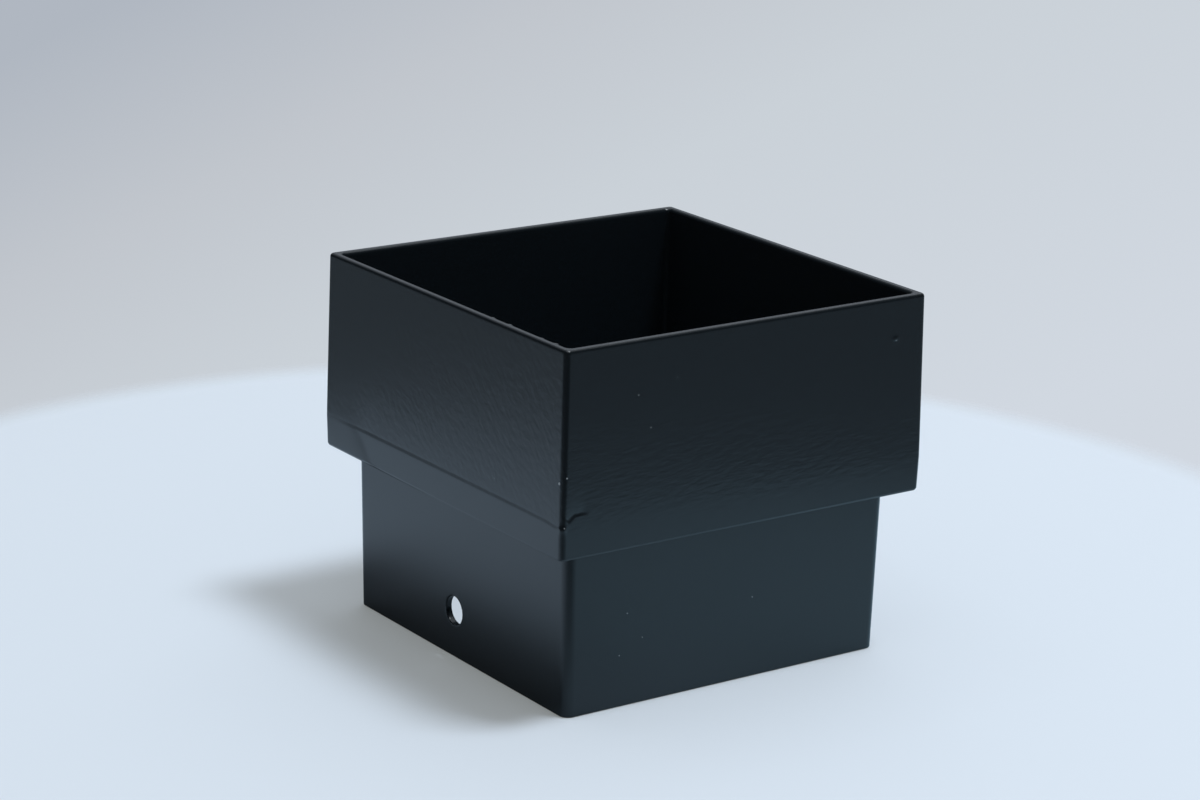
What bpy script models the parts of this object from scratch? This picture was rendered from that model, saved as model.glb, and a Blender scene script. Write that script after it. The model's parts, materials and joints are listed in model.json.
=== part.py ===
# Downpipe socket, cast in one piece.
# A square collar takes the end of the upper downpipe, which stops on an inner ledge.
# A narrower spigot under it slips into the next pipe and is pinned through one side hole.
# Metres, +Z up along the pipe run, origin at the centre of the spigot's open end.

import math

import bmesh
import bpy

# The downpipe that the socket joins, and how loosely it fits
pipe_width = 0.0800         # outer width of the square downpipe
pipe_wall = 0.0020          # its wall, which sets the room left for the spigot
socket_clearance = 0.0005   # gap on each side between the pipe and the collar's mouth
spigot_clearance = 0.0005   # gap on each side between the spigot's end and the lower pipe

# Lengths along the pipe run
spigot_length = 0.0338      # from the open end up to the collar's underside
ledge_thickness = 0.0024    # web between the collar's underside and the pipe stop
socket_depth = 0.0377       # from the pipe stop up to the rim
parting_rise = 0.0066       # from the collar's underside up to the mould's parting line

# Walls
collar_wall = 0.00185       # at the rim, growing downwards with the draft
spigot_wall = 0.0013        # at the open end, growing upwards with the draft

# Draft that lets the casting leave its mould, in degrees
outer_draft = 0.8           # outside of the spigot, and of the collar above the parting line
skirt_draft = 1.4           # outside of the collar below that line, where it narrows again
core_draft = 0.3            # inside faces, widest at each open end

# Corner radii seen from above
collar_corner = 0.0011      # outer corners of the collar
socket_corner = 0.0010      # inner corners of the collar
spigot_corner = 0.0020      # outer corners of the spigot
bore_corner = 0.0008        # inner corners of the spigot

# Fillet radii seen in section
rim_round = 0.0007          # both edges of the collar's rim
shoulder_round = 0.00035    # lower outer edge of the collar
root_fillet = 0.0006        # spigot into the collar's underside
stop_fillet = 0.0006        # collar wall into the pipe stop
throat_round = 0.0006       # pipe stop into the spigot's bore
end_round = 0.0003          # both edges of the spigot's open end

# Fixing hole through one side of the spigot
hole_diameter = 0.0059
hole_height = 0.0097        # hole's centre above the spigot's end
hole_offset = -0.00145      # hole's centre to the side of the wall's middle line

# Fineness of the facets
corner_steps = 6
fillet_steps = 4
hole_sides = 40

# Finish: black polyester powder coat on cast aluminium
coat_colour = (0.010, 0.011, 0.012, 1.0)
coat_roughness = 0.42

# Everything below follows from the values above
outer_slope = math.tan(math.radians(outer_draft))
skirt_slope = math.tan(math.radians(skirt_draft))
core_slope = math.tan(math.radians(core_draft))
stop_height = spigot_length + ledge_thickness
rim_height = stop_height + socket_depth
parting_height = spigot_length + parting_rise
mouth_half = pipe_width / 2 + socket_clearance
rim_half = mouth_half + collar_wall
parting_half = rim_half + (rim_height - parting_height) * outer_slope
shoulder_half = parting_half - parting_rise * skirt_slope
stop_half = mouth_half - socket_depth * core_slope
end_half = pipe_width / 2 - pipe_wall - spigot_clearance
root_half = end_half + spigot_length * outer_slope
bore_half = end_half - spigot_wall
throat_half = bore_half - stop_height * core_slope
hole_outer = end_half + hole_height * outer_slope
hole_inner = bore_half - hole_height * core_slope
wall_share = 0.45           # largest part of a wall that one fillet may take
corner_share = 0.9          # largest part of a plan corner that one fillet may take


def clear_scene():
    """Remove every object, so that the file holds only this part."""
    for thing in list(bpy.data.objects):
        bpy.data.objects.remove(thing, do_unlink=True)


def section_corners():
    """Sharp corners of the wall's section, anticlockwise from the spigot's outer end.

    Each is half width, height, fillet radius and the plan radius of the wall there.
    The parting line stays sharp, as the two halves of the mould leave it.
    """
    end_fillet = min(end_round, wall_share * spigot_wall)
    rim_fillet = min(rim_round, wall_share * collar_wall)
    return [
        (end_half, 0.0, min(end_fillet, corner_share * spigot_corner), spigot_corner),
        (root_half, spigot_length, root_fillet, spigot_corner),
        (shoulder_half, spigot_length, min(shoulder_round, corner_share * collar_corner), collar_corner),
        (parting_half, parting_height, 0.0, collar_corner),
        (rim_half, rim_height, min(rim_fillet, corner_share * collar_corner), collar_corner),
        (mouth_half, rim_height, rim_fillet, socket_corner),
        (stop_half, stop_height, min(stop_fillet, corner_share * socket_corner), socket_corner),
        (throat_half, stop_height, min(throat_round, wall_share * ledge_thickness), bore_corner),
        (bore_half, 0.0, end_fillet, bore_corner),
    ]


def fillet_points(before, corner, after, radius):
    """Points of the arc that rounds one corner of the section, or the corner if it stays sharp."""
    if radius == 0:
        return [corner[:2]]
    to_before = (before[0] - corner[0], before[1] - corner[1])
    to_after = (after[0] - corner[0], after[1] - corner[1])
    long_before = math.hypot(*to_before)
    long_after = math.hypot(*to_after)
    u = (to_before[0] / long_before, to_before[1] / long_before)
    v = (to_after[0] / long_after, to_after[1] / long_after)
    half_angle = math.acos(u[0] * v[0] + u[1] * v[1]) / 2
    reach = radius / math.tan(half_angle)
    middle = (u[0] + v[0], u[1] + v[1])
    scale = radius / math.sin(half_angle) / math.hypot(*middle)
    centre = (corner[0] + middle[0] * scale, corner[1] + middle[1] * scale)
    start = math.atan2(corner[1] + u[1] * reach - centre[1], corner[0] + u[0] * reach - centre[0])
    stop = math.atan2(corner[1] + v[1] * reach - centre[1], corner[0] + v[0] * reach - centre[0])
    turn = (stop - start + math.pi) % (2 * math.pi) - math.pi
    points = []
    for step in range(fillet_steps + 1):
        angle = start + turn * step / fillet_steps
        points.append((centre[0] + radius * math.cos(angle), centre[1] + radius * math.sin(angle)))
    return points


def section_stations():
    """Half width, height and plan radius of every ring around the rounded section."""
    corners = section_corners()
    stations = []
    for index, corner in enumerate(corners):
        before = corners[index - 1]
        after = corners[(index + 1) % len(corners)]
        arc_centre = corner[0] - corner[3]
        for half, height in fillet_points(before, corner, after, corner[2]):
            stations.append((half, height, half - arc_centre))
    return stations


def rounded_square(mesh, half, height, radius):
    """One ring: a square of the given half width with its corners rounded in plan."""
    ring = []
    centre = half - radius
    for quarter, (side_x, side_y) in enumerate(((1, 1), (-1, 1), (-1, -1), (1, -1))):
        for step in range(corner_steps + 1):
            angle = math.pi / 2 * (quarter + step / corner_steps)
            x = side_x * centre + radius * math.cos(angle)
            y = side_y * centre + radius * math.sin(angle)
            ring.append(mesh.verts.new((x, y, height)))
    return ring


def loft_rings(mesh, rings):
    """Skin the closed chain of rings, the last one joining the first."""
    for index, ring in enumerate(rings):
        following = rings[(index + 1) % len(rings)]
        for here in range(len(ring)):
            there = (here + 1) % len(ring)
            mesh.faces.new((ring[here], ring[there], following[there], following[here]))


def powder_coat():
    """Black powder coat: a dark, half-gloss paint film."""
    material = bpy.data.materials.new("black_powder_coat")
    material.use_nodes = True
    shader = material.node_tree.nodes["Principled BSDF"]
    shader.inputs["Base Color"].default_value = coat_colour
    shader.inputs["Roughness"].default_value = coat_roughness
    shader.inputs["Metallic"].default_value = 0.0
    return material


def make_object(name, mesh):
    """Turn a bmesh into a linked object."""
    data = bpy.data.meshes.new(name)
    bmesh.ops.recalc_face_normals(mesh, faces=mesh.faces[:])
    mesh.to_mesh(data)
    mesh.free()
    thing = bpy.data.objects.new(name, data)
    bpy.context.scene.collection.objects.link(thing)
    return thing


def socket_casting():
    """The whole drafted wall of collar, ledge and spigot, lofted around its section."""
    mesh = bmesh.new()
    rings = [rounded_square(mesh, *station) for station in section_stations()]
    loft_rings(mesh, rings)
    casting = make_object("socket_casting", mesh)
    casting.data.materials.append(powder_coat())
    return casting


def fixing_hole_cutter(casting):
    """A drill through the spigot's -Y wall only, square to the pipe run."""
    mesh = bmesh.new()
    drill_travel = 4 * (hole_outer - hole_inner)
    bmesh.ops.create_cone(mesh, cap_ends=True, segments=hole_sides, radius1=hole_diameter / 2,
                          radius2=hole_diameter / 2, depth=drill_travel)
    cutter = make_object("fixing_hole_cutter", mesh)
    cutter.rotation_euler = (math.pi / 2, 0.0, 0.0)
    cutter.location = (hole_offset, -(hole_outer + hole_inner) / 2, hole_height)
    cutter.parent = casting
    cutter.hide_render = True
    cutter.display_type = "WIRE"
    return cutter


def drill_fixing_hole(casting):
    """Cut the hole with an exact Boolean, then shade flats flat and rounds smooth."""
    drill = casting.modifiers.new("fixing_hole", "BOOLEAN")
    drill.operation = "DIFFERENCE"
    drill.solver = "EXACT"
    drill.object = fixing_hole_cutter(casting)
    casting.data.shade_smooth()
    casting.data.set_sharp_from_angle(angle=math.radians(35))


clear_scene()
drill_fixing_hole(socket_casting())
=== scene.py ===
# Square downpipe socket, die-cast aluminium under black powder coat, on a plain pale stage.

import json
import math
import bpy
import numpy as np
from mathutils import Matrix, Vector


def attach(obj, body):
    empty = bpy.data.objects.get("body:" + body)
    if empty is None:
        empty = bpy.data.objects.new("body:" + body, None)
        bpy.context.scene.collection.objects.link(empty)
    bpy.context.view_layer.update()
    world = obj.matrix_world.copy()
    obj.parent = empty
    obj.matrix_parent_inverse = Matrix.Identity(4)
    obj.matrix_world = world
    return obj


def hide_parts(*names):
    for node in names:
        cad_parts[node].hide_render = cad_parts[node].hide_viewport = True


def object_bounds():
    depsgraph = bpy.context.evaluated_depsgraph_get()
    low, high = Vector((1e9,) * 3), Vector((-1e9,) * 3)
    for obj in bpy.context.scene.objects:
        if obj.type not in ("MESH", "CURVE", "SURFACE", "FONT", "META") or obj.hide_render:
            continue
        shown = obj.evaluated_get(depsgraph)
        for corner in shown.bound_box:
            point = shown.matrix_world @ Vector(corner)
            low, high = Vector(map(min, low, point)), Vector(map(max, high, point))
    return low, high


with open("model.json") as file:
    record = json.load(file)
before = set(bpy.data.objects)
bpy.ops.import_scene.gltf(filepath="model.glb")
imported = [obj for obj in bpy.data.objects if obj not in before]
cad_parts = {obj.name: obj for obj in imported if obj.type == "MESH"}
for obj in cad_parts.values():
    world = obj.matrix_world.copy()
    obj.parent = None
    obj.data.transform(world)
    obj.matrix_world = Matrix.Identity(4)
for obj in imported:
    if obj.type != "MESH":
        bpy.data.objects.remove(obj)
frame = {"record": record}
cadLow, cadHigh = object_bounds()
mm = 0.001


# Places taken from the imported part, in millimetres
def mountHeight(name):
    # the height of a mount that the record names
    mount = next(m for m in frame["record"]["mounts"] if m["name"] == name)
    return mount["pos_m"][2] / mm


shoulderHeight = mountHeight("lower_pipe_seat")  # the collar's flat underside
stopHeight = mountHeight("pipe_stop")  # the ledge that stops the upper pipe
rimHeight = cadHigh[2] / mm

print("stage 1: camera")
camera = {
    "azimuth": 54.817,  # degrees round from -Y towards +X
    "elevation": 16.460,
    "roll": 1.462,
    "distance": 673.6,  # mm from the point aimed at
    "aimRight": -3.57,  # mm that the lens axis passes beside the part's axis
    "aimUp": 13.30,  # mm that it passes above the collar's underside
    "lens": 100.785,
    "sensor": 36.0,
    "clip": (10.0, 20000.0),  # mm, nearest and furthest thing that shows
}


def placeCamera():
    # back points from the part to the lens; right and up span the picture and turn by the roll
    azimuth = math.radians(camera["azimuth"])
    elevation = math.radians(camera["elevation"])
    flat = math.cos(elevation)
    back = Vector((math.sin(azimuth) * flat, -math.cos(azimuth) * flat, math.sin(elevation)))
    level = Vector((0, 0, 1)).cross(back).normalized()
    turn = Matrix.Rotation(math.radians(camera["roll"]), 3, back)
    right = turn @ level
    up = turn @ back.cross(level)
    eye = back * camera["distance"] + right * camera["aimRight"] + up * camera["aimUp"]
    eye.z += shoulderHeight
    data = bpy.data.cameras.new("camera")
    data.lens = camera["lens"]
    data.sensor_width = camera["sensor"]
    data.clip_start, data.clip_end = (length * mm for length in camera["clip"])
    holder = bpy.data.objects.new("camera", data)
    axes = Matrix((right, up, back)).transposed().to_4x4()
    holder.matrix_world = Matrix.Translation(eye * mm) @ axes
    bpy.context.scene.collection.objects.link(holder)
    bpy.context.scene.camera = holder


placeCamera()


# Shared helpers
def srgb(text):
    # a hex colour as the linear colour that a shader reads
    parts = [int(text[i:i + 2], 16) / 255 for i in (1, 3, 5)]
    return tuple(c / 12.92 if c <= 0.04045 else ((c + 0.055) / 1.055) ** 2.4 for c in parts) + (1.0,)


def addNode(tree, kind, links=(), **settings):
    # one node: plain settings are its properties, in0, in1 ... its sockets, links are (socket, source)
    node = tree.nodes.new(kind)
    for name, value in settings.items():
        if name.startswith("in") and name[2:].isdigit():
            node.inputs[int(name[2:])].default_value = value
        else:
            setattr(node, name, value)
    for socket, source in links:
        tree.links.new(source, node.inputs[socket])
    return node


def smooth(edge0, edge1, x):
    # 0 before edge0, 1 after edge1, an S-curve between them; edge0 may be the larger one
    t = np.clip((x - edge0) / (edge1 - edge0), 0, 1)
    return t * t * (3 - 2 * t)


def bell(x, width):
    # a bump of height 1 at x = 0 that fades over about its width
    return np.exp(-(x / width) ** 2)


def slope(degrees):
    # how far a face leans for each millimetre of its height
    return np.tan(np.radians(degrees))


def crowd(count, pull=0.8):
    # evenly spaced shares from -1 to 1, drawn towards both ends by a sine
    x = np.linspace(-1, 1, count)
    return (1 - pull) * x + pull * np.sin(x * math.pi / 2)


def between(low, high, count, pull=0.8):
    # values between two ends, closer together near the ends
    return low + (high - low) * (crowd(count, pull) + 1) / 2


def bothWays(count, step):
    # even steps on both sides of 0
    return np.arange(-count, count + 1) * step


print("stage 2: the cast wall")
wall = {
    "outerDraft": 0.8,  # degrees that the outside leans in: the spigot downwards, the collar upwards
    "skirtDraft": 1.4,  # degrees that the collar leans in below the mould line
    "partingRise": 6.6,  # mm from the collar's underside up to the mould line
    "coreDraft": 0.3,  # degrees that the inside leans in, away from each open end
    "mouthHalf": 40.5,  # half the socket's width at its mouth
    "collarWall": 1.85,
    "spigotWall": 1.3,
    "endHalf": 37.5,  # half the spigot's width at its open end
    "collarCorner": 1.1,  # plan radii
    "socketCorner": 1.0,
    "spigotCorner": 2.0,
    "boreCorner": 0.8,
    "endRound": 0.3,  # section radii
    "rootFillet": 0.6,
    "lipRound": 0.12,
    "rimRound": 0.7,
    "stopFillet": 0.6,
    "throatRound": 0.6,
    "lipHeight": 0.42,  # a fat lip of paint along the collar's lower edge
    "lipTurn": 25.0,  # degrees that it leans in
    "lipTurnFront": 8.0,  # and on the front face, towards the near corner
    "lipChange": (-30.0, 0.0),  # mm across the front face from the one lean to the other
    "lipFace": (-39.5, -41.5),  # y over which a point comes to count as the front face's lip
    "lipEnds": (42.3, 40.8),  # mm from the middle where the front lip has ended and where it is whole
    "holeRadius": 2.95,
    "holeAcross": -1.45,
    "holeHeight": 9.7,
    "holeEdge": 0.25,  # paint rounds the drilled edge
    "holeField": 4.7,  # half the square field that the hole is woven into
}

partingHeight = shoulderHeight + wall["partingRise"]
marks = {
    "outsideTurn": (0.5, 0.9),  # how far a normal points outwards where a face starts to count as outside
    "facingTurn": (0.3, 0.95),  # the same for a face that looks one way
    "flatTurn": (0.97, 0.999),  # and for a flat one
    "waveHeight": 0.010,  # mm, slow waves of the cast faces
    "waves": [  # mm across and mm up for each radian, and radians of shift for each unit of the side's number
        (7.3, 21.0, 3.0), (11.9, -8.7, 1.0), (17.0, 5.1, 5.0)],
    "waveSides": (2.1, 0.7),  # the sides' numbers, of the X faces and of the Y faces
    "waveReach": 43.0,  # mm from the middle of a face at which the waves have died out
    "waveFade": (9.0, 5.0),  # mm over which they die out, sideways and upwards
    "bandBend": (0.35, 2.6),  # mm over which the skirt starts to lean, on the front and on the other faces
    "seamRise": (0.04, 0.16, 15.0, 50.0),  # mould line on the front: mm above the joint, fall, middle, reach
    "seamDip": (0.27, 36.5, 41.0),  # how far it sinks near the corner, and where
    "seamStep": 0.07,  # above the mould line the front face stands this much further in
    "seamWidth": 1.0,
    "seamFade": (-40.0, -26.0, 0.15),  # mm across over which the step grows, and its share at the start
    "creaseStep": 0.18,
    "creaseWidth": (1.15, 0.65),  # at its start by the corner and at its end
    "creaseFade": 1.3,
    "creaseEnds": ((0.0, 0.12), (0.7, 1.0)),  # shares of its length over which it sets in and dies out
    "creasePath": [(-41.4, 41.1), (-40.52, 42.0), (-39.85, 42.42), (-38.4, 42.5), (-36.4, 42.3)],
    "foldDepth": 0.16,
    "foldFade": (2.4, 14.0),  # mm over which it fades, on its lower left and on its upper right
    "foldAbove": 12.0,  # mm above the mould line at which it has gone
    "foldStart": (0.18, 0.6),  # shares of its length over which it sets in
    "foldPath": [(-38.5, 40.15), (-35.0, 40.3), (-32.15, 40.3), (-30.3, 39.7), (-28.65, 38.4),
                 (-27.8, 37.3), (-26.85, 36.2), (-26.0, 35.2)],
    "pimple": (35.0, 65.8, 0.8, 0.45, 0.17),  # across, height, radius across and along the height, proud
    "cornerNib": ((42.4, -42.4, 39.95), 0.60, 0.24),  # a scrap of flash: place, radius, proud
    "rimNibs": [  # across, radius, proud
        (15.9, 0.34, 0.42), (21.4, 0.32, 0.50), (32.3, 0.34, 0.26), (36.7, 0.36, 0.52)],
    "nibTop": (-1.2, -0.4),  # mm from the rim over which a rim nib sets in
    "nibFace": (-41.5, -41.1, -40.0),  # y where it starts, where it is full and past which there is no wall
}

fineness = {  # how the skin's points are spread, closest at the marks
    "arcSteps": 6,
    "cornerSteps": 8,
    "plainRows": 4,  # on a stretch that has no rows of its own below
    "spigotRows": (0.9, 32.7, 30),  # lowest and highest in mm, count
    "skirtRows": (34.3, 39.3, 9, 0.3),  # where there is a fourth value, it is the pull towards both ends
    "creaseRows": (39.4, 40.38, 0.09),  # lowest and highest in mm, step
    "seamRows": (40.46, 43.0, 0.09),
    "collarRows": (43.15, 73.0, 37, 0.5),
    "socketRows": (38.0, 73.0, 20),
    "pimpleRows": (3, 0.25),  # how many each way, step
    "rowSlack": 0.05,  # mm by which a row may miss its height
    "cornerCentre": 41.2,  # mm from the axis where a column's share is 1
    "creaseColumns": (-1.0, -0.865, 56),  # first and last share, count
    "rightColumns": 50,
    "pimpleColumns": (4, 0.007),
    "frontColumns": (120, 0.5),  # count, pull
    "nibColumns": (4, 0.003),
    "hiddenColumns": 36,
    "holeArc": 5,  # rings round each edge of the hole
    "outerRings": (0.35, 0.65, 0.86),  # from the field's edge to the hole's edge, as shares of the way
    "boreRings": (0.35, 0.5, 0.65),  # through the wall
    "innerRings": (0.14, 0.35, 0.65),  # from the hole's inner edge to the inner field's edge
}


def sectionCorners():
    # the wall's section before rounding, from the spigot's outer end up, over the rim and down inside
    w = wall
    rimHalf = w["mouthHalf"] + w["collarWall"]
    boreHalf = w["endHalf"] - w["spigotWall"]
    rootHalf = w["endHalf"] + shoulderHeight * slope(w["outerDraft"])
    partingHalf = rimHalf + (rimHeight - partingHeight) * slope(w["outerDraft"])
    lipHalf = partingHalf - (w["partingRise"] - w["lipHeight"]) * slope(w["skirtDraft"])
    shoulderHalf = lipHalf - w["lipHeight"] * slope(w["lipTurn"])
    stopHalf = w["mouthHalf"] - (rimHeight - stopHeight) * slope(w["coreDraft"])
    throatHalf = boreHalf - stopHeight * slope(w["coreDraft"])
    return [
        (w["endHalf"], 0.0, w["endRound"], w["spigotCorner"]),
        (rootHalf, shoulderHeight, w["rootFillet"], w["spigotCorner"]),
        (shoulderHalf, shoulderHeight, w["lipRound"], w["collarCorner"]),
        (lipHalf, shoulderHeight + w["lipHeight"], w["lipRound"], w["collarCorner"]),
        (partingHalf, partingHeight, 0.0, w["collarCorner"]),
        (rimHalf, rimHeight, w["rimRound"], w["collarCorner"]),
        (w["mouthHalf"], rimHeight, w["rimRound"], w["socketCorner"]),
        (stopHalf, stopHeight, w["stopFillet"], w["socketCorner"]),
        (throatHalf, stopHeight, w["throatRound"], w["boreCorner"]),
        (boreHalf, 0.0, w["endRound"], w["boreCorner"]),
    ]


def filletArc(before, corner, after, radius):
    # the circle that touches both sides of a corner, walked from the first side to the second
    if radius == 0:
        return corner[None]
    u = (before - corner) / np.linalg.norm(before - corner)
    v = (after - corner) / np.linalg.norm(after - corner)
    half = math.acos(float(u @ v)) / 2
    middle = (u + v) / np.linalg.norm(u + v)
    centre = corner + middle * radius / math.sin(half)
    a = corner + u * radius / math.tan(half) - centre
    b = corner + v * radius / math.tan(half) - centre
    start = math.atan2(a[1], a[0])
    turn = (math.atan2(b[1], b[0]) - start + math.pi) % (2 * math.pi) - math.pi
    angle = start + turn * np.linspace(0, 1, fineness["arcSteps"] + 1)
    return centre + radius * np.stack([np.cos(angle), np.sin(angle)], 1)


def rowHeights():
    # heights of the rows on each long stretch, by the section's corner that the stretch starts at
    f = fineness
    spigot = between(*f["spigotRows"])
    skirt = np.concatenate([between(*f["skirtRows"]), np.arange(*f["creaseRows"])])
    pimple = marks["pimple"][1] + bothWays(*f["pimpleRows"])
    collar = np.concatenate([np.arange(*f["seamRows"]), between(*f["collarRows"]), pimple])
    socket = between(*f["socketRows"])
    return {0: spigot, 3: skirt, 4: np.unique(collar), 6: socket[::-1], 8: spigot[::-1]}


def sectionRows():
    # half width, height and plan radius of each row, once round the rounded section
    corners = sectionCorners()
    points = [np.array(c[:2]) for c in corners]
    count = len(corners)
    arcs = [filletArc(points[i - 1], points[i], points[(i + 1) % count], corners[i][2]) for i in range(count)]
    heights = rowHeights()
    rows = []
    for i in range(count):
        after = (i + 1) % count
        arcCentre = corners[i][0] - corners[i][3]
        nextCentre = corners[after][0] - corners[after][3]
        rows.append(np.column_stack([arcs[i], arcs[i][:, 0] - arcCentre]))
        start, end = arcs[i][-1], arcs[after][0]
        if i in heights:
            share = (heights[i] - start[1]) / (end[1] - start[1])
        else:
            share = np.linspace(0, 1, fineness["plainRows"] + 2)[1:-1]
        line = start + share[:, None] * (end - start)
        startRadius, endRadius = start[0] - arcCentre, end[0] - nextCentre
        rows.append(np.column_stack([line, startRadius + share * (endRadius - startRadius)]))
    return np.concatenate(rows)


def planColumns():
    # each column is a share of the corner centre's place plus an angle of its arc, once round the plan
    f = fineness
    first, last, count = f["creaseColumns"]
    pimple = marks["pimple"][0] / f["cornerCentre"] + bothWays(*f["pimpleColumns"])
    right = np.concatenate([np.linspace(first, last, count), between(last, 1.0, f["rightColumns"]), pimple])
    nibs = [across / f["cornerCentre"] + bothWays(*f["nibColumns"]) for across, _, _ in marks["rimNibs"]]
    front = np.concatenate([crowd(*f["frontColumns"])] + nibs)
    hidden = -crowd(f["hiddenColumns"])
    columns = []
    for side, t in enumerate((np.unique(right), hidden, hidden, np.unique(front))):
        angle = side * math.pi / 2
        shareX = (np.ones_like(t), t, -np.ones_like(t), t)[side]
        shareY = (t, np.ones_like(t), t, -np.ones_like(t))[side]
        columns.append(np.column_stack([shareX, shareY, np.full_like(t, angle)]))
        turn = angle + math.pi / 2 * np.linspace(0, 1, f["cornerSteps"] + 1)[1:-1]
        corner = np.full_like(turn, shareX[-1]), np.full_like(turn, shareY[-1])
        columns.append(np.column_stack([*corner, turn]))
    return np.concatenate(columns)


def wallGrid(rows, columns):
    # a point is the corner centre's place times the column's share, plus the plan radius along its angle
    centre = (rows[:, 0] - rows[:, 2])[:, None]
    radius = rows[:, 2][:, None]
    x = centre * columns[:, 0] + radius * np.cos(columns[:, 2])
    y = centre * columns[:, 1] + radius * np.sin(columns[:, 2])
    z = np.broadcast_to(rows[:, 1][:, None], x.shape)
    return np.stack([x, y, z], 2)


def gridNormals(grid):
    # cross product of the steps along the plan and along the section
    along = np.roll(grid, -1, 1) - np.roll(grid, 1, 1)
    up = np.roll(grid, -1, 0) - np.roll(grid, 1, 0)
    normal = np.cross(along, up)
    return normal / np.linalg.norm(normal, axis=2, keepdims=True)


def distanceToPath(a, b, path):
    # shortest distance to a chain of short lines, positive on its right, and how far along that is, 0 to 1
    best = np.full(a.shape, np.inf)
    where = np.zeros(a.shape)
    count = len(path) - 1
    for i in range(count):
        (a0, b0), (a1, b1) = path[i], path[i + 1]
        da, db = a1 - a0, b1 - b0
        t = np.clip(((a - a0) * da + (b - b0) * db) / (da * da + db * db), 0, 1)
        d = np.hypot(a - a0 - t * da, b - b0 - t * db)
        d = np.where((a - a0) * db - (b - b0) * da > 0, d, -d)
        nearer = np.abs(d) < np.abs(best)
        best = np.where(nearer, d, best)
        where = np.where(nearer, (i + t) / count, where)
    return best, where


def seamHeight(x):
    # a shallow parabola across the front face, with a dip at its near end
    rise, fall, middle, reach = marks["seamRise"]
    dip, start, end = marks["seamDip"]
    return partingHeight + rise - fall * ((x - middle) / reach) ** 2 - dip * smooth(start, end, x)


def slowWaves(x, y, z, nx, ny):
    # the flat faces sink a little, varied by the mean of three sines, and less towards their edges
    m = marks
    onSide = np.abs(nx) > np.abs(ny)
    around = np.where(onSide, y, x)
    side = np.where(onSide, m["waveSides"][0] * np.sign(x), m["waveSides"][1] * np.sign(y))
    waves = sum(np.sin(around / across + z / up + side * shift) for across, up, shift in m["waves"])
    sideways, upwards = m["waveFade"]
    edge = smooth(0, sideways, m["waveReach"] - np.abs(around))
    edge = edge * smooth(0, upwards, np.minimum(rimHeight - z, np.abs(z - shoulderHeight)))
    flat = smooth(*m["flatTurn"], np.maximum(np.abs(nx), np.abs(ny)))
    return -m["waveHeight"] * (1 + waves / len(m["waves"])) * edge * flat


def skirtBend(z, front):
    # softens the turn at the mould line: the log of 1 plus a power takes the place of a ramp
    frontBend, otherBend = marks["bandBend"]
    bend = frontBend * front + otherBend * (1 - front)
    below = partingHeight - z
    soft = bend * np.logaddexp(0, below / bend)
    return -(slope(wall["outerDraft"]) + slope(wall["skirtDraft"])) * (soft - np.maximum(below, 0))


def seamStep(x, z):
    # an S-shaped step at the mould line, which grows from the left
    half = marks["seamWidth"] / 2
    start, end, least = marks["seamFade"]
    share = least + (1 - least) * smooth(start, end, x)
    return -share * marks["seamStep"] * (1 - smooth(-half, half, seamHeight(x) - z))


def creaseLap(y, z):
    # an S-shaped step in across a curved path; above it the skin comes back out along an exponential
    m = marks
    away, share = distanceToPath(y, z, m["creasePath"])
    first, last = m["creaseWidth"]
    half = (first + share * (last - first)) / 2
    lap = (1 - smooth(-half, half, away)) * np.exp(np.minimum(away, 0) / m["creaseFade"])
    setsIn, diesOut = m["creaseEnds"]
    return -m["creaseStep"] * lap * smooth(*setsIn, share) * (1 - smooth(*diesOut, share))


def foldDent(x, z):
    # a dent along a path, with an exponential slope on either side, that dies out upwards and at its start
    m = marks
    away, share = distanceToPath(x, z, m["foldPath"])
    lower, upper = m["foldFade"]
    dent = np.exp(-np.maximum(away, 0) / lower + np.minimum(away, 0) / upper)
    reach = smooth(-m["foldAbove"], 0, seamHeight(x) - z) * smooth(*m["foldStart"], share)
    return -m["foldDepth"] * dent * reach


def pimpleBump(y, z):
    # a bell across times a bell along the height
    across, height, wide, high, proud = marks["pimple"]
    return proud * bell(y - across, wide) * bell(z - height, high)


def reliefOfMarks(grid, normals):
    # how far each point moves along its normal, in millimetres: the sum of the marks, each in its own place
    x, y, z = np.moveaxis(grid, 2, 0)
    nx, ny, _ = np.moveaxis(normals, 2, 0)
    outside = smooth(*marks["outsideTurn"], np.maximum(nx * np.sign(x), ny * np.sign(y)))
    collar = outside * (z > shoulderHeight)
    front = smooth(*marks["facingTurn"], -ny) * collar
    right = smooth(*marks["facingTurn"], nx) * collar
    place, radius, proud = marks["cornerNib"]
    relief = outside * slowWaves(x, y, z, nx, ny)
    relief += collar * (skirtBend(z, front) + proud * bell(np.linalg.norm(grid - place, axis=2), radius))
    relief += front * (seamStep(x, z) + foldDent(x, z))
    relief += right * (creaseLap(y, z) + pimpleBump(y, z))
    return relief


def lipOfFront(grid):
    # moves the front's lip out by the difference of the two leans, times the depth below the lip's top
    w = wall
    x, y, z = np.moveaxis(grid, 2, 0)
    depth = np.clip(shoulderHeight + w["lipHeight"] - z, 0, w["lipHeight"])
    onFront = smooth(*w["lipFace"], y) * smooth(*w["lipEnds"], np.abs(x))
    turn = w["lipTurn"] + (w["lipTurnFront"] - w["lipTurn"]) * smooth(*w["lipChange"], x)
    return depth * onFront * (slope(w["lipTurn"]) - slope(turn))


def nibsOfRim(grid):
    # small nibs that lean into the mouth from the front wall's rim, a bell each, fading down and outwards
    x, y, z = np.moveaxis(grid, 2, 0)
    start, full, last = marks["nibFace"]
    inner = smooth(*marks["nibTop"], z - rimHeight) * smooth(start, full, y) * (y < last)
    return inner * sum(proud * bell(x - across, radius) for across, radius, proud in marks["rimNibs"])


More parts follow.
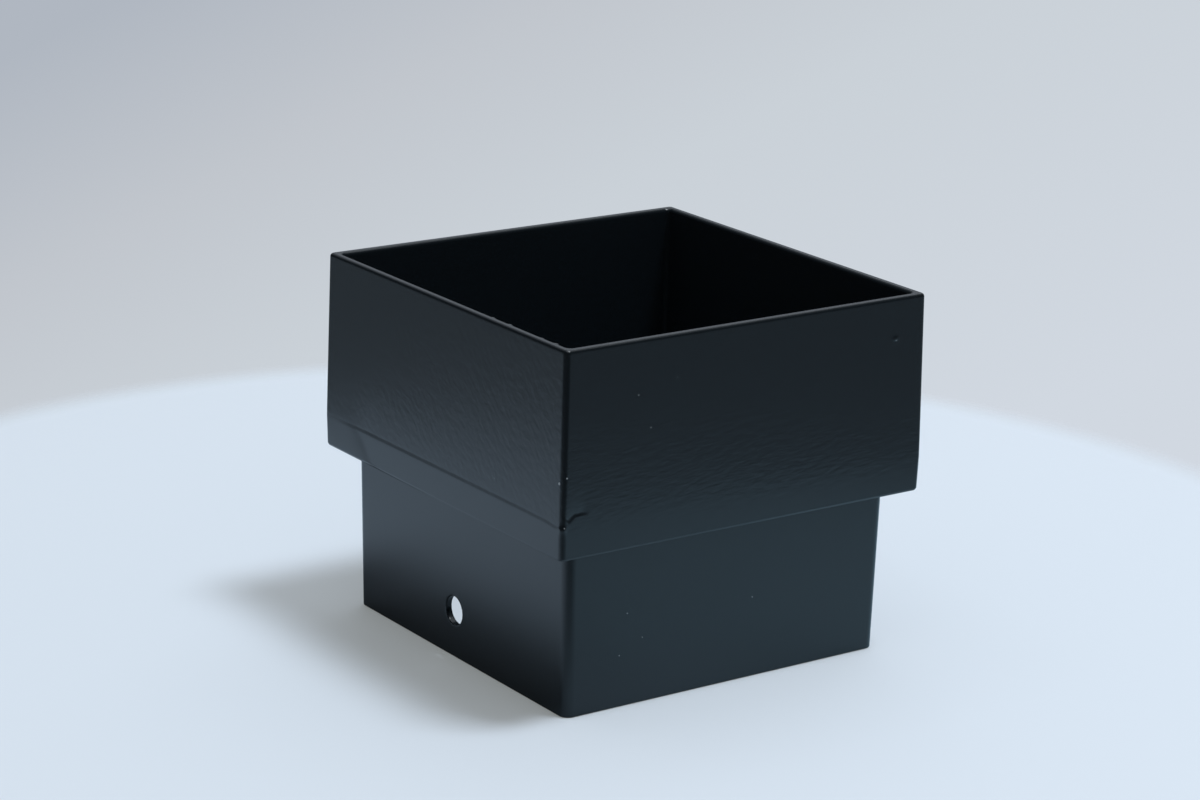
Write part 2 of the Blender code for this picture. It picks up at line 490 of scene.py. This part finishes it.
def holeRings(grid, low, high, left, right, inner):
    # the field's edge shrinks to the hole's round edge, runs through the wall and widens to the inner field
    w, f = wall, fineness
    loop = ([(low, c) for c in range(left, right)] + [(r, right) for r in range(low, high)]
            + [(high, c) for c in range(right, left, -1)] + [(r, left) for r in range(high, low, -1)])
    outerEdge = np.array([r * grid.shape[1] + c for r, c in loop])
    innerEdge = np.array([inner[r] * grid.shape[1] + c for r, c in loop])
    points = grid.reshape(-1, 3)
    near, far = points[outerEdge], points[innerEdge]
    angle = np.arctan2(near[:, 2] - w["holeHeight"], near[:, 0] - w["holeAcross"])

    def circle(radius, share, shift=0.0):
        # a ring at a share of the way through the wall, shifted inwards by a length in millimetres
        x = w["holeAcross"] + radius * np.cos(angle)
        z = w["holeHeight"] + radius * np.sin(angle)
        outerY = -(w["endHalf"] + z * slope(w["outerDraft"]))
        innerY = -(w["endHalf"] - w["spigotWall"] - z * slope(w["coreDraft"]))
        return np.column_stack([x, outerY + share * (innerY - outerY) + shift, z])

    edge = w["holeEdge"]
    mouth = circle(w["holeRadius"] + edge, 0)
    end = circle(w["holeRadius"] + edge, 1)
    bends = np.linspace(0, math.pi / 2, f["holeArc"])
    arc = [(w["holeRadius"] + edge * (1 - math.sin(b)), edge * (1 - math.cos(b))) for b in bends]
    rings = [near + (mouth - near) * share for share in f["outerRings"]]
    rings += [circle(radius, 0, shift) for radius, shift in arc]
    rings += [circle(w["holeRadius"], share) for share in f["boreRings"]]
    rings += [circle(radius, 1, -shift) for radius, shift in arc[::-1]]
    rings += [end + (far - end) * share for share in f["innerRings"]]
    return outerEdge, innerEdge, np.array(rings)


def quadsOf(ids):
    # four neighbours of a table of vertex numbers, turned so that the faces look outwards
    nextRow = np.roll(ids, -1, 0)
    return np.stack([ids, np.roll(ids, -1, 1), np.roll(nextRow, -1, 1), nextRow], 2)


def nearest(values, choices, target):
    # which of the chosen places holds the value closest to the target
    return choices[np.argmin(np.abs(values[choices] - target))]


def castWall():
    # the whole skin: a rounded section carried round a rounded square, with the drilled hole woven in
    w = wall
    rows, columns = sectionRows(), planColumns()
    grid = wallGrid(rows, columns)
    normals = gridNormals(grid)
    grid = grid + normals * reliefOfMarks(grid, normals)[..., None]
    grid[..., 1] += nibsOfRim(grid) - lipOfFront(grid)
    widest = np.array(list(cadHigh)) / mm
    grid = np.clip(grid, -widest, widest)  # no mark reaches past the part's true size
    halfWidths, heights = rows[:, 0], rows[:, 1]
    lowest, highest, _ = fineness["spigotRows"]
    slack = fineness["rowSlack"]
    inReach = (heights > lowest - slack) & (heights < highest + slack)
    middle = w["endHalf"] - w["spigotWall"] / 2  # between the wall's two faces
    spigotRows = np.flatnonzero(inReach & (halfWidths > middle))
    boreRows = np.flatnonzero(inReach & (halfWidths < middle))
    low = nearest(heights, spigotRows, w["holeHeight"] - w["holeField"])
    high = nearest(heights, spigotRows, w["holeHeight"] + w["holeField"])
    across = grid[low, :, 0]
    front = np.flatnonzero(columns[:, 2] == 3 * math.pi / 2)
    left = nearest(across, front, w["holeAcross"] - w["holeField"])
    right = nearest(across, front, w["holeAcross"] + w["holeField"])
    inner = {row: nearest(heights, boreRows, heights[row]) for row in range(low, high + 1)}
    ids = np.arange(grid[..., 0].size).reshape(grid.shape[:2])
    quads = quadsOf(ids)
    keep = np.ones(quads.shape[:2], bool)
    keep[low:high, left:right] = False
    keep[inner[high]:inner[low], left:right] = False
    outerEdge, innerEdge, rings = holeRings(grid, low, high, left, right, inner)
    ringIds = ids.size + np.arange(rings[..., 0].size).reshape(rings.shape[:2])
    tube = np.concatenate([outerEdge[None], ringIds, innerEdge[None]])
    faces = np.concatenate([quads[keep], quadsOf(tube)[:-1].reshape(-1, 4)])
    points = np.concatenate([grid.reshape(-1, 3), rings.reshape(-1, 3)]) * mm
    used, faces = np.unique(faces, return_inverse=True)
    return points[used], faces.reshape(-1, 4)


def meshObject(name, points, faces):
    # puts points and equal-sided faces straight into a smooth mesh at the origin
    data = bpy.data.meshes.new(name)
    data.vertices.add(len(points))
    data.vertices.foreach_set("co", points.astype(np.float32).ravel())
    data.loops.add(faces.size)
    data.loops.foreach_set("vertex_index", faces.astype(np.int32).ravel())
    data.polygons.add(len(faces))
    data.polygons.foreach_set("loop_start", np.arange(0, faces.size, faces.shape[1], dtype=np.int32))
    data.update(calc_edges=True)
    data.validate()
    data.shade_smooth()
    thing = bpy.data.objects.new(name, data)
    bpy.context.scene.collection.objects.link(thing)
    return thing


skinPoints, skinFaces = castWall()
skin = meshObject("cast_wall_skin", skinPoints, skinFaces)
print("cast wall:", len(skinPoints), "points,", 2 * len(skinFaces), "triangles")

print("stage 3: finish")
coat = {
    "colour": "#12181c",
    # pale colour of the dust specks, and of the painted glint on the rim's near corner
    "dust": "#b9bdc0",
    "roughness": 0.27,
    "ior": 1.5,
    "ripples": [  # attribute, way along a ripple, way across it, mm along, mm across
        ("peelFront", (0.669, 0.0, -0.743), (0.743, 0.0, 0.669), 1.9, 1.35),
        ("peelSide", (0.0, 0.996, 0.087), (0.0, -0.087, 0.996), 3.0, 1.05),
    ],
    "rippleDetail": 2.0,
    "rippleBend": 0.2,
    "peelHeight": 0.024,  # mm
    "peelOutside": (41.2, 41.8),  # mm from the axis where the collar's outside starts
    "peelFrontFades": [  # mm from, mm to, strength at each: above the mould line, across, height
        (-0.2, 0.8, 0.0, 1.0), (-37.0, -25.0, 0.75, 1.0), (52.0, 68.0, 1.0, 1.7)],
    "peelSideFades": [  # the same for the side face: height, height, across
        (36.0, 42.0, 0.0, 1.0), (50.0, 62.0, 1.1, 0.9), (-25.0, 25.0, 1.0, 1.4)],
    "grainCell": 0.6,  # mm, pebbles of the cured powder
    "grainDetail": 1.0,
    "grainHeight": 0.002,
    "specks": [  # place and radius of each, in mm: dust specks, but the one on the rim at 73.9 mm is a painted glint of the near corner
        (41.45, -42.70, 48.7, 0.24), (20.0, -42.77, 43.8, 0.10), (42.69, -41.75, 49.9, 0.14),
        (42.49, -26.05, 63.4, 0.085), (42.58, -23.1, 56.75, 0.085), (42.46, -17.3, 65.5, 0.085),
        (42.55, 35.1, 65.4, 0.10), (37.76, -23.85, 18.85, 0.09), (37.69, -20.1, 13.3, 0.08),
        (37.65, -25.35, 10.55, 0.08), (37.73, 5.95, 16.6, 0.10), (42.0, -42.1, 73.9, 0.19),
        (42.75, -42.15, 40.35, 0.09)],
}


def storePeel(thing, points):
    # how strongly the orange peel shows on the collar's faces: the product of three S-shaped fades each
    x, y, z = points.T / mm
    outside = smooth(*coat["peelOutside"], np.maximum(np.abs(x), np.abs(y))) * (z > shoulderHeight)
    onFront = np.abs(y) >= np.abs(x)
    places = {
        "peelFront": (onFront, (z - seamHeight(x), x, z), coat["peelFrontFades"]),
        "peelSide": (~onFront, (z, z, y), coat["peelSideFades"]),
    }
    for name, (here, lengths, fades) in places.items():
        strength = outside * here
        for length, (start, end, low, high) in zip(lengths, fades):
            strength = strength * (low + (high - low) * smooth(start, end, length))
        layer = thing.data.attributes.new(name, "FLOAT", "POINT")
        layer.data.foreach_set("value", strength.astype(np.float32))


def powderCoat():
    # Polyester powder coat, sprayed and stoved: an even black film with a half-gloss skin.
    # To the eye it is a deep black that mirrors the pale floor softly, rippled like orange peel.
    c = coat
    material = bpy.data.materials.new("polyester_powder_coat_sprayed_black")
    material.use_nodes = True
    tree = material.node_tree
    shader = tree.nodes["Principled BSDF"]
    shader.inputs["IOR"].default_value = c["ior"]
    shader.inputs["Metallic"].default_value = 0.0
    shader.inputs["Roughness"].default_value = c["roughness"]
    place = addNode(tree, "ShaderNodeTexCoord").outputs["Object"]
    grain = addNode(tree, "ShaderNodeTexNoise", [("Vector", place)])
    grain.inputs["Scale"].default_value = 1 / (c["grainCell"] * mm)
    grain.inputs["Detail"].default_value = c["grainDetail"]
    height = addNode(tree, "ShaderNodeMath", [(0, grain.outputs[0])], operation="MULTIPLY",
                     in1=c["grainHeight"] / c["peelHeight"])
    for name, along, across, long, short in c["ripples"]:
        shares = [addNode(tree, "ShaderNodeVectorMath", [(0, place)], operation="DOT_PRODUCT",
                          in1=Vector(way) / (cell * mm)) for way, cell in ((along, long), (across, short))]
        flat = addNode(tree, "ShaderNodeCombineXYZ",
                       [(i, share.outputs["Value"]) for i, share in enumerate(shares)])
        ripple = addNode(tree, "ShaderNodeTexNoise", [("Vector", flat.outputs[0])], noise_dimensions="2D")
        ripple.inputs["Scale"].default_value = 1.0
        ripple.inputs["Detail"].default_value = c["rippleDetail"]
        ripple.inputs["Distortion"].default_value = c["rippleBend"]
        mask = addNode(tree, "ShaderNodeAttribute", attribute_name=name)
        height = addNode(tree, "ShaderNodeMath", [(0, ripple.outputs[0]), (1, mask.outputs["Fac"]),
                                                  (2, height.outputs[0])], operation="MULTIPLY_ADD")
    bump = addNode(tree, "ShaderNodeBump", [("Height", height.outputs[0])])
    bump.inputs["Strength"].default_value = 1.0
    bump.inputs["Distance"].default_value = c["peelHeight"] * mm
    tree.links.new(bump.outputs[0], shader.inputs["Normal"])
    dust = None
    # pale dots in the base colour: dust specks, and one painted glint on the rim's near corner
    for x, y, z, radius in c["specks"]:
        away = addNode(tree, "ShaderNodeVectorMath", [(0, place)], operation="DISTANCE",
                       in1=(x * mm, y * mm, z * mm))
        dot = addNode(tree, "ShaderNodeMath", [(0, away.outputs["Value"])], operation="LESS_THAN",
                      in1=radius * mm)
        if dust is not None:
            dot = addNode(tree, "ShaderNodeMath", [(0, dust.outputs[0]), (1, dot.outputs[0])],
                          operation="MAXIMUM")
        dust = dot
    colour = addNode(tree, "ShaderNodeMix", [("Factor", dust.outputs[0])], data_type="RGBA",
                     in6=srgb(c["colour"]), in7=srgb(c["dust"]))
    tree.links.new(colour.outputs[2], shader.inputs["Base Color"])
    return material


storePeel(skin, skinPoints)
skin.data.materials.append(powderCoat())
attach(skin, "root")
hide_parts("socket_casting")

print("stage 4: floor, backdrop and light")
stage = {
    "floorRadius": 181.0,  # mm, a round pale floor
    "floorCentre": (-17.7, -4.2, -0.02),
    "floorSoftEdge": 8.0,  # mm over which its edge melts into the backdrop, either way
    "floorMesh": (0.01, 24, 128),  # mm from its middle to its first ring, rings, points in a ring
    "floorColour": "#d7dfea",
    "floorGlow": "#f4f9f0",  # lifts the shadow for the camera
    "floorLift": 0.15,
    "glossColours": ("#d7ecff", "#b8daed"),  # the floor that the gloss shows, on the -X -Y side and opposite: a painted reflection, paler on the -X -Y side
    "glossWay": (0.817, 0.577, 0.0),  # from the one side to the other
    "glossTurn": 60.0,  # mm either way from the middle, over which the one colour goes into the other
    "glossLift": 0.020,
    "glossFootShade": 0.65,  # painted shade: share that goes at the foot of the front face
    "glossFootAcross": (-76.0, -54.0),  # x where that sets in
    "glossFootDepth": (-72.0, -40.0),  # y where it sets in
    "glossFootEnd": 15.0,  # mm along glossWay over which it dies out
    "glossShadeFalls": [  # where else that floor has painted shade: measure, vector, mm from, mm to, share left at each
        ("DOT_PRODUCT", (0.817, -0.577, 0.0), 90.0, 150.0, 1.0, 0.45),  # towards the camera
        ("LENGTH", (0.0, 0.0, 0.0), 160.0, 195.0, 1.0, 0.68),  # towards the floor's rim
        ("DISTANCE", (86.0 * mm, -72.0 * mm, 0.0), 20.0, 75.0, 0.5, 1.0),  # in front of the near corner
    ],
    "backdropTurn": (0.394, 0.213, -0.677),  # the way in which the backdrop grows paler
    "backdropRange": (-0.137, 0.054),
    "backdropColours": [(0.0, "#b0b7c1"), (0.25, "#c1c6cd"), (0.5, "#cad1d8"), (1.0, "#d1d8e1")],
    "roomLow": 0.266,  # brightness of the room in the part's gloss, under the horizon
    "roomHigh": 0.022,  # and above it
    "roomFront": 0.06,  # under the horizon, on the side of the camera
    "roomHorizon": 0.06,  # how far from level the one goes into the other, as a sine
    "frontWay": (0.577, -0.817, 0.0),
    "frontRange": (0.08, 0.42),  # cosines to it over which the camera's side sets in
    "glows": [  # two paler parts of the room: way, cosines where each starts and is full, strength
        ((-0.81, 0.57, 0.10), 0.72, 0.95, 0.38),
        ((-0.79, 0.0, 0.61), 0.92, 0.99, 0.22),
    ],
    "glowTint": (0.92, 1.0, 1.12, 1.0),
    "roomTints": ((0.97, 1.23, 1.46), (0.76, 1.0, 1.22, 1.0)),  # on the -X -Y side and opposite
    "roomTurn": 0.5,  # cosine to glossWay, either way, over which the one tint goes into the other
    "roomBack": 0.6,  # share left of the first tint on the far side from frontWay
    "roomBackRange": (-0.088, -0.055),  # cosines to frontWay over which it comes back
    "ambient": 0.275,
    "lampTint": (0.92, 1.0, 1.08),
    "lamps": [  # name, place in mm, width in mm, watts
        ("key", (357, 291, 1533), 330, 14.6),
        ("ceiling", (0, 0, 1200), 1000, 2.6),
        ("window", (-630, 780, 1110), 1000, 2.4),
    ],
}


def floorInGloss(tree, place):
    # the floor as the part's gloss shows it, a painted reflection: cool, paler on the -X -Y side, and with
    # painted shade in the places that the values name
    s = stage
    sideways = addNode(tree, "ShaderNodeVectorMath", [(0, place)], operation="DOT_PRODUCT", in1=s["glossWay"])
    turned = addNode(tree, "ShaderNodeMapRange", [(0, sideways.outputs["Value"])],
                     in1=-s["glossTurn"] * mm, in2=s["glossTurn"] * mm)
    tint = addNode(tree, "ShaderNodeMix", [("Factor", turned.outputs[0])], data_type="RGBA",
                   in6=srgb(s["glossColours"][0]), in7=srgb(s["glossColours"][1]))
    x, y, _ = addNode(tree, "ShaderNodeSeparateXYZ", [(0, place)]).outputs
    # painted shade in the gloss at the foot of the front face
    acrossLow, acrossHigh = s["glossFootAcross"]
    across = addNode(tree, "ShaderNodeMapRange", [(0, x)], in1=acrossLow * mm, in2=acrossHigh * mm,
                     in4=s["glossFootShade"])
    depthLow, depthHigh = s["glossFootDepth"]
    depth = addNode(tree, "ShaderNodeMapRange", [(0, y), (4, across.outputs[0])], in1=depthLow * mm,
                    in2=depthHigh * mm)
    foot = addNode(tree, "ShaderNodeMapRange", [(0, sideways.outputs["Value"]), (3, depth.outputs[0])],
                   in1=0.0, in2=s["glossFootEnd"] * mm, in4=0.0)
    share = addNode(tree, "ShaderNodeMath", [(1, foot.outputs[0])], operation="SUBTRACT", in0=1.0)
    # painted shade in the gloss in the other places that the values name
    for measure, vector, start, end, low, high in s["glossShadeFalls"]:
        length = addNode(tree, "ShaderNodeVectorMath", [(0, place)], operation=measure, in1=vector)
        fall = addNode(tree, "ShaderNodeMapRange", [(0, length.outputs["Value"])], in1=start * mm,
                       in2=end * mm, in3=low, in4=high)
        share = addNode(tree, "ShaderNodeMath", [(0, share.outputs[0]), (1, fall.outputs[0])],
                        operation="MULTIPLY")
    dimmed = addNode(tree, "ShaderNodeVectorMath", [(0, tint.outputs[2]), (3, share.outputs[0])],
                     operation="SCALE")
    cool = addNode(tree, "ShaderNodeBsdfDiffuse", [(0, dimmed.outputs[0])])
    even = addNode(tree, "ShaderNodeEmission", in0=(1, 1, 1, 1))
    return addNode(tree, "ShaderNodeMixShader", [(1, cool.outputs[0]), (2, even.outputs[0])],
                   in0=s["glossLift"])


def paleBoard():
    # Matt painted board: to the eye an even pale surface with a soft shadow and no sheen.
    s = stage
    material = bpy.data.materials.new("matt_board_pale")
    material.use_nodes = True
    tree = material.node_tree
    tree.nodes.clear()
    place = addNode(tree, "ShaderNodeTexCoord").outputs["Object"]
    path = addNode(tree, "ShaderNodeLightPath")
    board = addNode(tree, "ShaderNodeBsdfDiffuse", in0=srgb(s["floorColour"]))
    glow = addNode(tree, "ShaderNodeEmission", in0=srgb(s["floorGlow"]))
    seen = addNode(tree, "ShaderNodeMixShader", [(1, board.outputs[0]), (2, glow.outputs[0])],
                   in0=s["floorLift"])
    mirrored = floorInGloss(tree, place)
    surface = addNode(tree, "ShaderNodeMixShader", [(0, path.outputs["Is Camera Ray"]),
                                                    (1, mirrored.outputs[0]), (2, seen.outputs[0])])
    away = addNode(tree, "ShaderNodeVectorMath", [(0, place)], operation="DISTANCE",
                   in1=Vector(s["floorCentre"]) * mm)
    fade = addNode(tree, "ShaderNodeMapRange", [(0, away.outputs["Value"])], interpolation_type="SMOOTHSTEP",
                   in1=(s["floorRadius"] - s["floorSoftEdge"]) * mm,
                   in2=(s["floorRadius"] + s["floorSoftEdge"]) * mm)
    clear = addNode(tree, "ShaderNodeBsdfTransparent")
    mixed = addNode(tree, "ShaderNodeMixShader", [(0, fade.outputs[0]), (1, surface.outputs[0]),
                                                  (2, clear.outputs[0])])
    addNode(tree, "ShaderNodeOutputMaterial", [("Surface", mixed.outputs[0])])
    return material


def paleFloor():
    # a flat disc: rings of evenly growing radius round the floor's centre
    s = stage
    first, rings, points = s["floorMesh"]
    turns = np.linspace(0, 2 * math.pi, points, endpoint=False)
    radii = np.linspace(first, s["floorRadius"] + 2 * s["floorSoftEdge"], rings)[:, None]
    x = s["floorCentre"][0] + radii * np.cos(turns)
    y = s["floorCentre"][1] + radii * np.sin(turns)
    grid = np.stack([x, y, np.full_like(x, s["floorCentre"][2])], 2)
    quads = quadsOf(np.arange(x.size).reshape(x.shape))[:-1]
    floor = meshObject("floor", grid.reshape(-1, 3) * mm, quads.reshape(-1, 4)[:, ::-1])
    floor.data.materials.append(paleBoard())


def roomInGloss(tree, ray):
    # the room as the part's gloss shows it: pale below the horizon, dark above, with the glows added
    s = stage
    height = addNode(tree, "ShaderNodeSeparateXYZ", [(0, ray)]).outputs[2]
    ahead = addNode(tree, "ShaderNodeVectorMath", [(0, ray)], operation="DOT_PRODUCT", in1=s["frontWay"])
    low = addNode(tree, "ShaderNodeMapRange", [(0, ahead.outputs["Value"])], in1=s["frontRange"][0],
                  in2=s["frontRange"][1], in3=s["roomLow"], in4=s["roomFront"])
    base = addNode(tree, "ShaderNodeMapRange", [(0, height), (3, low.outputs[0])], in1=-s["roomHorizon"],
                   in2=s["roomHorizon"], in4=s["roomHigh"])
    sideways = addNode(tree, "ShaderNodeVectorMath", [(0, ray)], operation="DOT_PRODUCT", in1=s["glossWay"])
    turned = addNode(tree, "ShaderNodeMapRange", [(0, sideways.outputs["Value"])], in1=-s["roomTurn"],
                     in2=s["roomTurn"])
    fall = addNode(tree, "ShaderNodeMapRange", [(0, ahead.outputs["Value"])], in1=s["roomBackRange"][0],
                   in2=s["roomBackRange"][1], in3=s["roomBack"], in4=1.0)
    first = addNode(tree, "ShaderNodeVectorMath", [(3, fall.outputs[0])], operation="SCALE",
                    in0=s["roomTints"][0])
    tint = addNode(tree, "ShaderNodeMix", [("Factor", turned.outputs[0]), (6, first.outputs[0])],
                   data_type="RGBA", in7=s["roomTints"][1])
    room = addNode(tree, "ShaderNodeBackground", [("Color", tint.outputs[2]), ("Strength", base.outputs[0])])
    for way, start, full, strength in s["glows"]:
        facing = addNode(tree, "ShaderNodeVectorMath", [(0, ray)], operation="DOT_PRODUCT", in1=way)
        lobe = addNode(tree, "ShaderNodeMapRange", [(0, facing.outputs["Value"])],
                       interpolation_type="SMOOTHSTEP", in1=start, in2=full, in3=0.0, in4=strength)
        panel = addNode(tree, "ShaderNodeBackground", [("Strength", lobe.outputs[0])], in0=s["glowTint"])
        room = addNode(tree, "ShaderNodeAddShader", [(0, room.outputs[0]), (1, panel.outputs[0])])
    return room


def softRoom():
    # the camera sees a pale backdrop, the gloss sees the room, and matt surfaces see an even light
    s = stage
    world = bpy.data.worlds.new("room")
    world.use_nodes = True
    bpy.context.scene.world = world
    tree = world.node_tree
    tree.nodes.clear()
    ray = addNode(tree, "ShaderNodeTexCoord").outputs["Generated"]
    paler = addNode(tree, "ShaderNodeVectorMath", [(0, ray)], operation="DOT_PRODUCT", in1=s["backdropTurn"])
    share = addNode(tree, "ShaderNodeMapRange", [(0, paler.outputs["Value"])], in1=s["backdropRange"][0],
                    in2=s["backdropRange"][1])
    shade = addNode(tree, "ShaderNodeValToRGB", [(0, share.outputs[0])])
    stops = shade.color_ramp.elements
    for position, _ in s["backdropColours"][1:-1]:
        stops.new(position)
    for stop, (position, colour) in zip(stops, s["backdropColours"]):
        stop.position, stop.color = position, srgb(colour)
    backdrop = addNode(tree, "ShaderNodeBackground", [("Color", shade.outputs[0])])
    gloss = roomInGloss(tree, ray)
    ambient = addNode(tree, "ShaderNodeBackground", in0=(1, 1, 1, 1), in1=s["ambient"])
    path = addNode(tree, "ShaderNodeLightPath")
    seen = addNode(tree, "ShaderNodeMixShader", [(0, path.outputs["Is Glossy Ray"]), (1, ambient.outputs[0]),
                                                 (2, gloss.outputs[0])])
    mixed = addNode(tree, "ShaderNodeMixShader", [(0, path.outputs["Is Camera Ray"]), (1, seen.outputs[0]),
                                                  (2, backdrop.outputs[0])])
    addNode(tree, "ShaderNodeOutputWorld", [("Surface", mixed.outputs[0])])


def softLamp(name, place, size, power):
    # a square soft box that faces the part
    data = bpy.data.lights.new(name, "AREA")
    data.energy = power
    data.color = stage["lampTint"]
    data.size = size * mm
    lamp = bpy.data.objects.new(name, data)
    lamp.location = Vector(place) * mm
    lamp.rotation_mode = "QUATERNION"
    lamp.rotation_quaternion = lamp.location.to_track_quat("Z", "Y")
    bpy.context.scene.collection.objects.link(lamp)


paleFloor()
softRoom()
for lamp in stage["lamps"]:
    softLamp(*lamp)
bpy.context.scene.view_settings.view_transform = "Standard"
